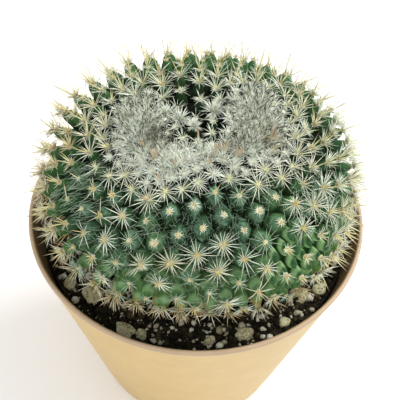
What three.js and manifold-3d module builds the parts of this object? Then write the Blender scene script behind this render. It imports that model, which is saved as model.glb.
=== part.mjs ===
import * as THREE from 'three';
import { ConvexHull } from 'three/addons/math/ConvexHull.js';
import { mergeVertices } from 'three/addons/utils/BufferGeometryUtils.js';
import Module from 'manifold-3d';

// A Mammillaria perbella that has divided into two heads, in an 80 mm plastic pot.
// Millimetres, +Z up. The origin is on the axis of the pot, on the surface it stands on,
// and +Y is the side of the plant away from the two crowns.

// The pot
const RIM_RADIUS = 40;
const POT_HEIGHT = 58;
const FOOT_RADIUS = 25;
const WALL = 1;
const LIP_HEIGHT = 1.1;
const LIP_STEP = 0.35;
const LIP_THICKNESS = 1.2;
const LIP_ROUNDING = 0.3;
const FLOOR_THICKNESS = 1.6;
const FOOT_RECESS = 1.4;
const FOOT_RING_WIDTH = 4;
const POT_SIDES = 40;
const DRAIN_HOLES = 6;
const DRAIN_RADIUS = 2.4;
const DRAIN_CIRCLE = 14;
const DRAIN_SIDES = 8;

// The soil and the pumice on it
const SOIL_DEPTH = 7.6;
const SOIL_RELIEF = 0.7;
const SOIL_SECTORS = 40;
const SOIL_RINGS = 7;
const CLEARANCE = 0.35;
const HOLE_RADIUS = 18.2;
const HOLE_DEPTH = 14;

// The stem: a rounded, flattened body whose skin passes through the tips of the tubercles
const STEM_CENTRE_HEIGHT = POT_HEIGHT + 12;
const STEM_HALF_WIDTH = 35.3;
const STEM_HALF_DEPTH = 34;
const STEM_HALF_HEIGHT = 20.8;
const STEM_SQUARENESS = 2.2;
const CLEFT = { x: -1.5, y: 1.5, halfLength: 7.5, halfWidth: 4.5, share: 0.13 };
const NECK_RINGS = [
  { radius: 17.6, below: 20.6, points: 20 },
  { radius: 12, below: 25, points: 14 },
  { radius: 9, below: 32, points: 10 },
];

// The line of youngest growth: from the back of the left crown to the front, where a narrower
// band joins the crowns, and to the back of the right one, with its breadth at each place
const GROWTH_LINE = [
  { place: new THREE.Vector3(-13.2, -0.4, 19.5), breadth: 1.2 },
  { place: new THREE.Vector3(-12.4, -9.4, 19.5), breadth: 1.4 },
  { place: new THREE.Vector3(-7.9, -14.5, 19.5), breadth: 1.1 },
  { place: new THREE.Vector3(0.2, -13.2, 19.5), breadth: 0.8 },
  { place: new THREE.Vector3(8, -11.4, 19.5), breadth: 0.95 },
  { place: new THREE.Vector3(12.9, -5.9, 19.5), breadth: 1.35 },
  { place: new THREE.Vector3(11, 3.8, 19.5), breadth: 1.35 },
];
const GROWTH_STEPS = 4;

// How far apart the areoles stand, from the youngest growth out to the flanks. The distance
// from the line of youngest growth is counted in breadths of the line.
const SPACING_BY_AGE = [
  { distance: 0, spacing: 2 },
  { distance: 5.3, spacing: 3.1 },
  { distance: 8.2, spacing: 4.8 },
  { distance: 18, spacing: 5.5 },
];
const SPIRAL_COLUMNS = 18;
const LOWEST_AREOLE = -17.5;
const GOLDEN_ANGLE = Math.PI * (3 - Math.sqrt(5));

// Tubercles and spines
const COVERED_BELOW_SPACING = 3.05;
const TUBERCLE_HEIGHT = 0.74;
const AREOLE_SHARE = 0.25;
const RADIAL_LENGTH = 2.9;
const RADIAL_TILT = THREE.MathUtils.degToRad(50);
const RADIAL_TWIST = THREE.MathUtils.degToRad(18);
const CENTRAL_LENGTH = 3.8;
const CENTRAL_TILT = THREE.MathUtils.degToRad(20);
const SPINE_OVER_SPACING = 0.56;
const MAT_DEPTH = 1.3;
const MAT_GAP = 0.35;
const MAT_SPINE = 2.3;

// Loose stones: distance from the axis, bearing in degrees (-90 is the front), length, width, height
const STONES = [
  [34.0, -147, 4.0, 3.4, 2.8],
  [31.6, -137, 6.0, 4.6, 3.4],
  [33.6, -116, 5.2, 3.6, 2.8],
  [33.2, -109, 3.0, 2.4, 4.0],
  [32.4, -82, 3.2, 2.8, 2.6],
  [32.4, -68, 5.0, 3.6, 3.2],
  [33.8, -51, 3.2, 2.6, 2.2],
  [31.8, -37, 4.6, 3.0, 3.0],
  [34.0, -29, 3.8, 3.2, 2.8],
  [34.2, -13, 3.8, 3.6, 3.0],
  [33.6, 24, 4.2, 3.2, 2.6],
  [33.2, 71, 5.0, 3.8, 3.0],
  [33.4, 139, 4.6, 3.4, 2.8],
];

const wasm = await Module();
wasm.setup();

// A closed surface gathered vertex by vertex
class Shell {
  constructor() {
    this.points = [];
    this.faces = [];
  }

  vertex(point) {
    this.points.push(point.x, point.y, point.z);
    return this.points.length / 3 - 1;
  }

  face(a, b, c) {
    this.faces.push(a, b, c);
  }

  // A three-sided needle raised on the triangle a, b, c
  needle(a, b, c, tip) {
    const top = this.vertex(tip);
    this.face(a, b, top);
    this.face(b, c, top);
    this.face(c, a, top);
  }

  geometry() {
    const geometry = new THREE.BufferGeometry();
    geometry.setAttribute('position', new THREE.Float32BufferAttribute(this.points, 3));
    geometry.setIndex(this.faces);
    geometry.computeVertexNormals();
    return geometry;
  }
}

// A repeatable number between 0 and 1 for a whole number
function scatter(index) {
  const value = Math.sin(index * 12.9898 + 4.1) * 43758.5453;
  return value - Math.floor(value);
}

function mixed(points) {
  const sum = new THREE.Vector3();
  points.forEach((point) => sum.add(point));
  return sum.divideScalar(points.length);
}

// Pot

function potRadius(height) {
  const top = RIM_RADIUS - LIP_STEP;
  return THREE.MathUtils.lerp(FOOT_RADIUS, top, height / (POT_HEIGHT - LIP_HEIGHT));
}

function lathe(profile, sides) {
  const points = profile.map(([radius, height]) => new THREE.Vector2(radius, height));
  const geometry = new THREE.LatheGeometry(points, sides);
  geometry.rotateX(Math.PI / 2);
  return geometry;
}

function solidOf(geometry) {
  const bare = geometry.index ? geometry.toNonIndexed() : geometry.clone();
  bare.deleteAttribute('normal');
  bare.deleteAttribute('uv');
  const merged = mergeVertices(bare, 1e-4);
  const index = merged.index.array;
  const position = merged.attributes.position.array;
  const kept = [];
  for (let i = 0; i < index.length; i += 3) {
    const [a, b, c] = [index[i], index[i + 1], index[i + 2]];
    if (a !== b && b !== c && c !== a) kept.push(a, b, c);
  }
  const mesh = new wasm.Mesh({
    numProp: 3,
    vertProperties: new Float32Array(position),
    triVerts: new Uint32Array(kept),
  });
  return new wasm.Manifold(mesh);
}

function geometryOf(solid) {
  const mesh = solid.getMesh();
  const geometry = new THREE.BufferGeometry();
  geometry.setAttribute('position', new THREE.BufferAttribute(mesh.vertProperties, 3));
  geometry.setIndex(new THREE.BufferAttribute(mesh.triVerts, 1));
  geometry.computeVertexNormals();
  return geometry;
}

// A thin tapered wall with a rounded lip, a foot ring and a raised floor with drain holes
function potGeometry() {
  const lipBase = POT_HEIGHT - LIP_HEIGHT;
  const floorTop = FOOT_RECESS + FLOOR_THICKNESS;
  const ringInner = FOOT_RADIUS - FOOT_RING_WIDTH;
  const inner = (height) => potRadius(height) - WALL;
  const profile = [
    [0, FOOT_RECESS],
    [ringInner - 0.6, FOOT_RECESS],
    [ringInner, 0],
    [FOOT_RADIUS - 0.7, 0],
    [potRadius(0.7), 0.7],
    [potRadius(lipBase - LIP_ROUNDING), lipBase - LIP_ROUNDING],
    [RIM_RADIUS - LIP_ROUNDING / 2, lipBase],
    [RIM_RADIUS, lipBase + LIP_ROUNDING],
    [RIM_RADIUS, POT_HEIGHT - LIP_ROUNDING],
    [RIM_RADIUS - LIP_ROUNDING, POT_HEIGHT],
    [RIM_RADIUS - LIP_THICKNESS + LIP_ROUNDING, POT_HEIGHT],
    [RIM_RADIUS - LIP_THICKNESS, POT_HEIGHT - LIP_ROUNDING],
    [inner(lipBase), lipBase],
    [inner(floorTop + 1.5), floorTop + 1.5],
    [inner(floorTop) - 1.2, floorTop],
    [0, floorTop],
  ];
  let pot = solidOf(lathe(profile, POT_SIDES));
  for (let i = 0; i < DRAIN_HOLES; i += 1) {
    const bearing = ((i + 0.5) / DRAIN_HOLES) * 2 * Math.PI;
    const drain = new THREE.CylinderGeometry(DRAIN_RADIUS, DRAIN_RADIUS, 8, DRAIN_SIDES);
    drain.rotateX(Math.PI / 2);
    drain.translate(DRAIN_CIRCLE * Math.cos(bearing), DRAIN_CIRCLE * Math.sin(bearing), 2);
    pot = pot.subtract(solidOf(drain));
  }
  return geometryOf(pot);
}

// Soil and stones

const SOIL_LEVEL = POT_HEIGHT - SOIL_DEPTH;

const stonePlaces = STONES.map(([distance, bearing, length, width, height]) => {
  const angle = THREE.MathUtils.degToRad(bearing);
  return {
    x: distance * Math.cos(angle),
    y: distance * Math.sin(angle),
    angle,
    length,
    width,
    height,
    reach: length / 2,
    bottom: SOIL_LEVEL - 0.35 * height,
  };
});

function soilHeight(x, y) {
  const waves = Math.sin(x * 0.71 + 1.3) * Math.sin(y * 0.83 + 0.4)
    + 0.6 * Math.sin(x * 1.9 - y * 1.3 + 2.1);
  const nearStem = THREE.MathUtils.smoothstep(30 - Math.hypot(x, y), 0, 10);
  let height = SOIL_LEVEL + SOIL_RELIEF * 0.6 * waves - 1.6 * nearStem;
  stonePlaces.forEach((stone) => {
    const apart = Math.hypot(x - stone.x, y - stone.y);
    if (apart < stone.reach + 2.6) height = Math.min(height, stone.bottom - CLEARANCE);
  });
  return height;
}

// Peat filling the pot, with a relief on top and a plain hole where the stem stands
function soilGeometry() {
  const shell = new Shell();
  const floor = FOOT_RECESS + FLOOR_THICKNESS + CLEARANCE;
  const bottomRadius = potRadius(floor) - WALL - 1.2 - CLEARANCE;
  const topRadius = potRadius(SOIL_LEVEL - 1.5) - WALL - CLEARANCE;
  const holeFloor = SOIL_LEVEL - HOLE_DEPTH;
  const holeCentre = shell.vertex(new THREE.Vector3(0, 0, holeFloor));
  const bottomCentre = shell.vertex(new THREE.Vector3(0, 0, floor));
  const columns = [];
  for (let sector = 0; sector < SOIL_SECTORS; sector += 1) {
    const angle = (sector / SOIL_SECTORS) * 2 * Math.PI;
    const column = [[HOLE_RADIUS * 0.7, holeFloor]];
    for (let ring = 0; ring <= SOIL_RINGS; ring += 1) {
      const radius = THREE.MathUtils.lerp(HOLE_RADIUS, topRadius, ring / SOIL_RINGS);
      column.push([radius, soilHeight(radius * Math.cos(angle), radius * Math.sin(angle))]);
    }
    column.push([bottomRadius + 1.5, floor + 1.6]);
    column.push([bottomRadius, floor]);
    columns.push(column.map(([radius, height]) => shell.vertex(
      new THREE.Vector3(radius * Math.cos(angle), radius * Math.sin(angle), height),
    )));
  }
  columns.forEach((column, sector) => {
    const next = columns[(sector + 1) % SOIL_SECTORS];
    shell.face(holeCentre, column[0], next[0]);
    for (let i = 0; i + 1 < column.length; i += 1) {
      shell.face(column[i], column[i + 1], next[i + 1]);
      shell.face(column[i], next[i + 1], next[i]);
    }
    shell.face(bottomCentre, next[column.length - 1], column[column.length - 1]);
  });
  return shell.geometry();
}

// A worn lump of pumice: an icosphere pressed to size and dented
function stoneGeometry(stone, seed) {
  const geometry = mergeVertices(bareSphere(), 1e-5);
  const position = geometry.attributes.position;
  const point = new THREE.Vector3();
  for (let i = 0; i < position.count; i += 1) {
    point.fromBufferAttribute(position, i).normalize();
    const dents = Math.sin(point.x * 3.1 + seed * 1.7) * Math.sin(point.y * 2.7 + seed * 2.3)
      + 0.6 * Math.sin(point.z * 4.3 + seed * 0.9);
    point.multiplyScalar(1 + 0.14 * dents - 0.14);
    point.multiply(new THREE.Vector3(stone.width / 2, stone.length / 2, stone.height / 2));
    position.setXYZ(i, point.x, point.y, point.z);
  }
  geometry.computeVertexNormals();
  return geometry;
}

function bareSphere() {
  const sphere = new THREE.IcosahedronGeometry(1, 1);
  sphere.deleteAttribute('normal');
  sphere.deleteAttribute('uv');
  return sphere;
}

// Stem

function skinReach(direction) {
  const power = STEM_SQUARENESS;
  const sum = Math.abs(direction.x / STEM_HALF_WIDTH) ** power
    + Math.abs(direction.y / STEM_HALF_DEPTH) ** power
    + Math.abs(direction.z / STEM_HALF_HEIGHT) ** power;
  const plain = sum ** (-1 / power);
  if (direction.z <= 0) return plain;
  const across = (direction.x * plain - CLEFT.x) / CLEFT.halfLength;
  const along = (direction.y * plain - CLEFT.y) / CLEFT.halfWidth;
  return plain * (1 - CLEFT.share * Math.exp(-across * across - along * along));
}

function onSkin(point) {
  const direction = point.clone().normalize();
  return direction.multiplyScalar(skinReach(direction));
}

// The way out of the skin at a point of it
function outward(point) {
  const slope = (value, half) => Math.sign(value)
    * Math.abs(value / half) ** (STEM_SQUARENESS - 1) / half;
  return new THREE.Vector3(
    slope(point.x, STEM_HALF_WIDTH),
    slope(point.y, STEM_HALF_DEPTH),
    slope(point.z, STEM_HALF_HEIGHT),
  ).normalize();
}

// The line of youngest growth, set on the skin and stepped more finely
function youngPlaces() {
  const stepped = [];
  GROWTH_LINE.forEach(({ place, breadth }, i) => {
    const next = GROWTH_LINE[i + 1];
    for (let step = 0; step < (next ? GROWTH_STEPS : 1); step += 1) {
      const share = step / GROWTH_STEPS;
      stepped.push({
        place: onSkin(next ? place.clone().lerp(next.place, share) : place),
        breadth: next ? THREE.MathUtils.lerp(breadth, next.breadth, share) : breadth,
      });
    }
  });
  return stepped;
}

const youngLine = youngPlaces();

function wantedSpacing(point) {
  const distance = Math.min(...youngLine.map((young) => (
    young.place.distanceTo(point) / young.breadth
  )));
  const next = SPACING_BY_AGE.findIndex((age) => age.distance > distance);
  if (next < 0) return SPACING_BY_AGE[SPACING_BY_AGE.length - 1].spacing;
  const [younger, older] = [SPACING_BY_AGE[next - 1], SPACING_BY_AGE[next]];
  const share = (distance - younger.distance) / (older.distance - younger.distance);
  return THREE.MathUtils.lerp(younger.spacing, older.spacing, share);
}

// Complex numbers as [real, imaginary], for the flat map that the two spirals are drawn on
const times = (a, b) => [a[0] * b[0] - a[1] * b[1], a[0] * b[1] + a[1] * b[0]];
const plus = (a, b) => [a[0] + b[0], a[1] + b[1]];
const minus = (a, b) => [a[0] - b[0], a[1] - b[1]];
const conjugate = (a) => [a[0], -a[1]];

function over(a, b) {
  const size = b[0] * b[0] + b[1] * b[1];
  const product = times(a, conjugate(b));
  return [product[0] / size, product[1] / size];
}

function squareRoot(a) {
  const size = Math.sqrt(Math.hypot(a[0], a[1]));
  const half = Math.atan2(a[1], a[0]) / 2;
  return [size * Math.cos(half), size * Math.sin(half)];
}

const ECCENTRICITY = Math.sqrt(1 - (STEM_HALF_HEIGHT / STEM_HALF_WIDTH) ** 2);

// From the flat map to the skin, keeping angles: the top of the stem is the map's zero
function fromMap(place) {
  const bearing = Math.atan2(place[1], place[0]);
  const level = -Math.log(Math.max(Math.hypot(place[0], place[1]), 1e-9));
  let sine = Math.tanh(level);
  for (let i = 0; i < 30; i += 1) {
    sine = Math.tanh(level + ECCENTRICITY * Math.atanh(ECCENTRICITY * sine));
  }
  const cosine = Math.sqrt(1 - sine * sine);
  const curve = STEM_HALF_WIDTH / Math.sqrt(1 - (ECCENTRICITY * sine) ** 2);
  const flatness = STEM_HALF_DEPTH / STEM_HALF_WIDTH;
  return onSkin(new THREE.Vector3(
    curve * cosine * Math.cos(bearing),
    curve * cosine * Math.sin(bearing) * flatness,
    curve * (1 - ECCENTRICITY ** 2) * sine,
  ));
}

// The flat map's place of the two growing points, as a turn of the sphere that carries
// the map's zero to the middle between them, and the half way from that middle to each
const CROWN_MIDDLE = [0.0358, -0.1755];
const CROWN_HALF = [0.2396, 0.067];

// Two families of golden-angle spirals, one round each growing point, that run together
// into one family down the flanks, as on a stem whose tip has divided
function spiralPlaces() {
  const step = (2 * Math.PI) / SPIRAL_COLUMNS;
  const fall = (Math.sqrt(3) / 2) * step * step / (2 * Math.PI);
  const start = 2 * Math.log(2.4);
  const end = 2 * Math.log(Math.hypot(...CROWN_HALF)) - 4.5;
  const halfSquared = times(CROWN_HALF, CROWN_HALF);
  const places = [];
  for (let k = 0; start - (k + 0.5) * fall >= end; k += 1) {
    const size = Math.exp(start - (k + 0.5) * fall);
    const turn = [size * Math.cos(k * GOLDEN_ANGLE), size * Math.sin(k * GOLDEN_ANGLE)];
    const root = squareRoot(plus(halfSquared, turn));
    [root, [-root[0], -root[1]]].forEach((arm) => {
      const turned = over(
        plus(arm, CROWN_MIDDLE),
        minus([1, 0], times(conjugate(CROWN_MIDDLE), arm)),
      );
      places.push(fromMap(turned));
    });
  }
  return places;
}

// Evenly spread places all over the skin, to fill where the two families part
function fillingPlaces(count) {
  const places = [];
  for (let i = 0; i < count; i += 1) {
    const height = 1 - (2 * (i + 0.5)) / count;
    const width = Math.sqrt(1 - height * height);
    const bearing = i * GOLDEN_ANGLE;
    places.push(onSkin(new THREE.Vector3(
      width * Math.cos(bearing),
      width * Math.sin(bearing),
      height,
    )));
  }
  return places;
}

// Areoles crowd each other apart until each has the room its age gives it
function areolePlaces() {
  const kept = [];
  const settle = (place, share, compare) => {
    if (place.z <= LOWEST_AREOLE) return;
    const spacing = wantedSpacing(place);
    const free = kept.every((other) => (
      other.place.distanceTo(place) > share * (compare ? Math.min(other.spacing, spacing) : spacing)
    ));
    if (free) kept.push({ place, spacing });
  };
  spiralPlaces().forEach((place) => settle(place, 0.74, true));
  fillingPlaces(9000).forEach((place) => settle(place, 0.86, false));
  let places = kept.map((areole) => areole.place);
  for (let round = 0; round < 40; round += 1) {
    const spacings = places.map(wantedSpacing);
    places = places.map((place, i) => {
      const moved = place.clone();
      places.forEach((other, j) => {
        if (i === j) return;
        const apart = place.distanceTo(other);
        const lack = 0.52 * (spacings[i] + spacings[j]) - apart;
        if (lack <= 0) return;
        moved.addScaledVector(place, (0.28 * lack) / apart);
        moved.addScaledVector(other, (-0.28 * lack) / apart);
      });
      return onSkin(moved);
    });
  }
  return places;
}

function neckPlaces() {
  const places = [];
  NECK_RINGS.forEach(({ radius, below, points }) => {
    for (let i = 0; i < points; i += 1) {
      const bearing = ((i + 0.5) / points) * 2 * Math.PI;
      places.push(new THREE.Vector3(
        radius * Math.cos(bearing),
        radius * Math.sin(bearing),
        -below,
      ));
    }
  });
  const last = NECK_RINGS[NECK_RINGS.length - 1];
  places.push(new THREE.Vector3(0, 0, -last.below - 1));
  return places;
}

// Triangles between neighbouring places, as faces of the hull of their bearings
function neighbourFaces(places) {
  const bearings = places.map((place) => place.clone().normalize());
  const numberOf = new Map(bearings.map((bearing, i) => [bearing, i]));
  const hull = new ConvexHull().setFromPoints(bearings);
  return hull.faces.map((face) => {
    const first = face.edge;
    return [first, first.next, first.next.next].map((edge) => numberOf.get(edge.head().point));
  });
}

const areoles = areolePlaces();
const places = [...areoles, ...neckPlaces()];
const spacings = areoles.map(wantedSpacing);
const isAreole = (i) => i < areoles.length;
const isYoung = (i) => isAreole(i) && spacings[i] < COVERED_BELOW_SPACING;
const isTubercle = (i) => isAreole(i) && !isYoung(i);
const faces = neighbourFaces(places);
const faceOfEdge = new Map();
faces.forEach((corners, number) => {
  corners.forEach((corner, i) => {
    faceOfEdge.set(`${corner} ${corners[(i + 1) % 3]}`, number);
  });
});
const sideFace = (from, to) => faceOfEdge.get(`${from} ${to}`);

function thirdCorner(face, from, to) {
  return faces[face].find((corner) => corner !== from && corner !== to);
}

// The neighbours of a place, anticlockwise as seen from outside
function ringOf(place, start) {
  const ring = [];
  let neighbour = start;
  do {
    ring.push(neighbour);
    neighbour = thirdCorner(sideFace(place, neighbour), place, neighbour);
  } while (neighbour !== start);
  return ring;
}

function startOf(place) {
  const corners = faces.find((each) => each.includes(place));
  return corners[(corners.indexOf(place) + 1) % 3];
}

function groovePoint(corners) {
  const middle = mixed(corners.map((corner) => places[corner]));
  const rooms = corners.filter(isAreole).map((corner) => spacings[corner]);
  const room = rooms.reduce((sum, value) => sum + value, 0) / rooms.length;
  const onTop = onSkin(middle);
  const depth = corners.every(isAreole) ? TUBERCLE_HEIGHT * room : 0.4 * room;
  return onTop.addScaledVector(outward(onTop), -depth);
}

// The tip of a spine that leans from the areole's middle over one side of its tubercle
function spineTip(base, centre, axis, spacing, length, tilt) {
  const away = base.clone().sub(centre);
  away.addScaledVector(axis, -away.dot(axis)).normalize();
  away.applyAxisAngle(axis, RADIAL_TWIST);
  const reach = Math.min(length, (length / RADIAL_LENGTH) * SPINE_OVER_SPACING * spacing);
  return base.clone()
    .addScaledVector(away, reach * Math.sin(tilt))
    .addScaledVector(axis, reach * Math.cos(tilt));
}

function addTubercle(shell, number, grooves) {
  const centre = places[number];
  const axis = outward(centre);
  const spacing = spacings[number];
  const ring = ringOf(number, startOf(number));
  const foot = ring.map((neighbour) => grooves[sideFace(number, neighbour)]);
  const crown = foot.map(({ point }) => {
    const away = point.clone().sub(centre);
    away.addScaledVector(axis, -away.dot(axis));
    return centre.clone().addScaledVector(away, AREOLE_SHARE);
  });
  const rim = crown.map((point) => shell.vertex(point));
  const middle = shell.vertex(centre);
  const ups = ring.map((neighbour, m) => crown[m].z);
  const upper = ups.indexOf(Math.max(...ups));
  const lower = ups.indexOf(Math.min(...ups));
  ring.forEach((unused, m) => {
    const next = (m + 1) % ring.length;
    const facing = ring[next];
    shell.face(foot[m].vertex, foot[next].vertex, rim[next]);
    shell.face(foot[m].vertex, rim[next], rim[m]);
    if (!isTubercle(facing)) {
      shell.face(foot[next].vertex, foot[m].vertex, shell.plain[facing]);
    }
    const base = mixed([crown[m], crown[next], centre]);
    const central = m === upper || (m === lower && ring.length > 5);
    const upright = central || isYoung(facing);
    const tilt = upright ? CENTRAL_TILT : RADIAL_TILT;
    const length = central ? CENTRAL_LENGTH : RADIAL_LENGTH;
    const tip = spineTip(base, centre, axis, spacing, length, tilt);
    if (STEM_CENTRE_HEIGHT + tip.z > SOIL_LEVEL + 0.9) {
      shell.needle(rim[m], rim[next], middle, tip);
    } else {
      shell.face(rim[m], rim[next], middle);
    }
  });
}

// A place moved out from the skin, or into it where the height is negative
function lifted(number, height) {
  return places[number].clone().addScaledVector(outward(places[number]), height);
}

// The stem with its tubercles and their spines, grown as one, and its neck down in the soil
function stemGeometry() {
  const shell = new Shell();
  shell.plain = places.map((place, i) => {
    if (isTubercle(i)) return null;
    return shell.vertex(isYoung(i) ? lifted(i, -MAT_DEPTH) : place);
  });
  const grooves = faces.map((corners) => {
    if (!corners.some(isTubercle)) return null;
    const point = groovePoint(corners);
    return { point, vertex: shell.vertex(point) };
  });
  faces.forEach((corners, number) => {
    const [a, b, c] = corners;
    if (!grooves[number]) {
      shell.face(shell.plain[a], shell.plain[b], shell.plain[c]);
      return;
    }
    [[a, b], [b, c], [c, a]].forEach(([from, to]) => {
      if (isTubercle(from) || isTubercle(to)) return;
      shell.face(shell.plain[from], shell.plain[to], grooves[number].vertex);
    });
  });
  areoles.forEach((unused, number) => {
    if (isTubercle(number)) addTubercle(shell, number, grooves);
  });
  return shell.geometry();
}

// The white wool and bristles over both crowns and the bend between them, one dense mat
function crownGeometry() {
  const shell = new Shell();
  const under = new Map();
  const above = new Map();
  areoles.forEach((unused, number) => {
    if (!isYoung(number)) return;
    under.set(number, shell.vertex(lifted(number, MAT_GAP - MAT_DEPTH)));
    above.set(number, shell.vertex(places[number]));
  });
  const inMat = (number) => faces[number].every(isYoung);
  faces.forEach((corners, number) => {
    if (!inMat(number)) return;
    const [a, b, c] = corners;
    shell.face(under.get(a), under.get(c), under.get(b));
    const tops = corners.map((corner) => places[corner]);
    const heart = mixed(tops);
    const axis = outward(heart);
    const heartVertex = shell.vertex(heart);
    corners.forEach((from, i) => {
      const to = corners[(i + 1) % 3];
      const base = mixed([tops[i], tops[(i + 1) % 3], heart]);
      const lean = tops[i].clone().sub(tops[(i + 1) % 3]).multiplyScalar(0.25);
      const height = MAT_SPINE * (0.75 + 0.5 * scatter(number * 3 + i));
      const tip = base.clone().addScaledVector(axis, height).add(lean);
      shell.needle(above.get(from), above.get(to), heartVertex, tip);
      if (inMat(sideFace(to, from))) return;
      shell.face(under.get(from), under.get(to), above.get(to));
      shell.face(under.get(from), above.get(to), above.get(from));
    });
  });
  return shell.geometry();
}

// The assembly

const plastic = new THREE.MeshStandardMaterial({ color: '#d9c39a', roughness: 0.55 });
const peat = new THREE.MeshStandardMaterial({ color: '#2a2418', roughness: 1 });
const skin = new THREE.MeshStandardMaterial({ color: '#4f6b45', roughness: 0.6 });
const bristle = new THREE.MeshStandardMaterial({ color: '#e4e2d0', roughness: 0.8 });
const pumice = new THREE.MeshStandardMaterial({ color: '#b9b398', roughness: 0.95 });

const plant = new THREE.Group();

function addPiece(name, geometry, material) {
  const piece = new THREE.Mesh(geometry, material);
  piece.name = name;
  plant.add(piece);
  return piece;
}

addPiece('pot', potGeometry(), plastic);
addPiece('soil', soilGeometry(), peat);
addPiece('stem', stemGeometry(), skin).position.z = STEM_CENTRE_HEIGHT;
addPiece('crown_spines', crownGeometry(), bristle).position.z = STEM_CENTRE_HEIGHT;
stonePlaces.forEach((stone, i) => {
  const number = String(i + 1).padStart(2, '0');
  const piece = addPiece(`pumice_${number}`, stoneGeometry(stone, i + 1), pumice);
  piece.position.set(stone.x, stone.y, stone.bottom + stone.height / 2);
  piece.rotation.z = stone.angle;
});

export default plant;
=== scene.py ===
import math

import bpy
import numpy as np
from mathutils import Matrix, Quaternion, Vector, noise


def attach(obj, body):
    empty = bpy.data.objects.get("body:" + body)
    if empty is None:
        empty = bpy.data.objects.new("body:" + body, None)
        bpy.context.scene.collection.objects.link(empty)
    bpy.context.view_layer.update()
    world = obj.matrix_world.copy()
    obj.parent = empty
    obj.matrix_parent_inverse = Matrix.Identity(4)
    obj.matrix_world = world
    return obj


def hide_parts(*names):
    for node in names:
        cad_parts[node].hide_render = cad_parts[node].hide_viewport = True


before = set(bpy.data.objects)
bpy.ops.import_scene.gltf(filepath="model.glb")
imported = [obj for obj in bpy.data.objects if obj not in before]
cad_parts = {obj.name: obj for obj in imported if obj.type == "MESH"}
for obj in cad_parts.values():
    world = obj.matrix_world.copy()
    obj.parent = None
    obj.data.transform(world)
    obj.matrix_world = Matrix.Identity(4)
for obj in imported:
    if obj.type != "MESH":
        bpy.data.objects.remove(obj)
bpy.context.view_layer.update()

# Camera
# It looks down on the plant from the front, and is turned a little about its own axis, so
# that the pot leans slightly in the picture.
RIM_HEIGHT = 0.058
VIEW_DISTANCE = 0.220
VIEW_ELEVATION = math.radians(50.3)
VIEW_ROLL = math.radians(3.1)
AIM_FROM_RIM = Vector((0.0007, 0.0029, 0))
LENS = 82.4
SENSOR_WIDTH = 36

rim_centre = Vector((0, 0, RIM_HEIGHT))
towards_eye = Vector((0, -math.cos(VIEW_ELEVATION), math.sin(VIEW_ELEVATION)))
eye = rim_centre + VIEW_DISTANCE * towards_eye
sight = (rim_centre + AIM_FROM_RIM - eye).normalized()
level = sight.cross(Vector((0, 0, 1))).normalized()
upward = level.cross(sight)
rolled = level * math.cos(VIEW_ROLL) + upward * math.sin(VIEW_ROLL)
camera = bpy.data.objects.new("camera", bpy.data.cameras.new("camera"))
bpy.context.collection.objects.link(camera)
camera.location = eye
camera.rotation_mode = "QUATERNION"
camera_axes = Matrix((rolled, (-sight).cross(rolled), -sight)).transposed()
camera.rotation_quaternion = camera_axes.to_quaternion()
camera.data.sensor_width = SENSOR_WIDTH
camera.data.lens = LENS
camera.data.clip_start = 0.01
bpy.context.scene.camera = camera

# Pot
# A thin plant pot, moulded in cream plastic: a tapered wall that steps out to a rounded lip, a
# foot ring, and a raised floor with drain holes. Wet peat has stained the wall inside.
MM = 0.001
RIM_RADIUS = 40
POT_TOP = 58
LIP_FOOT = 56.9
LIP_STEP = 0.35
FOOT_RADIUS = 25
WALL = 1.0
FLOOR_TOP = 3
POT_SIDES = 144
DRAIN_HOLES = 6
DRAIN_RADIUS = 2.4
DRAIN_CIRCLE = 14
DRAIN_SIDES = 28


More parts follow.
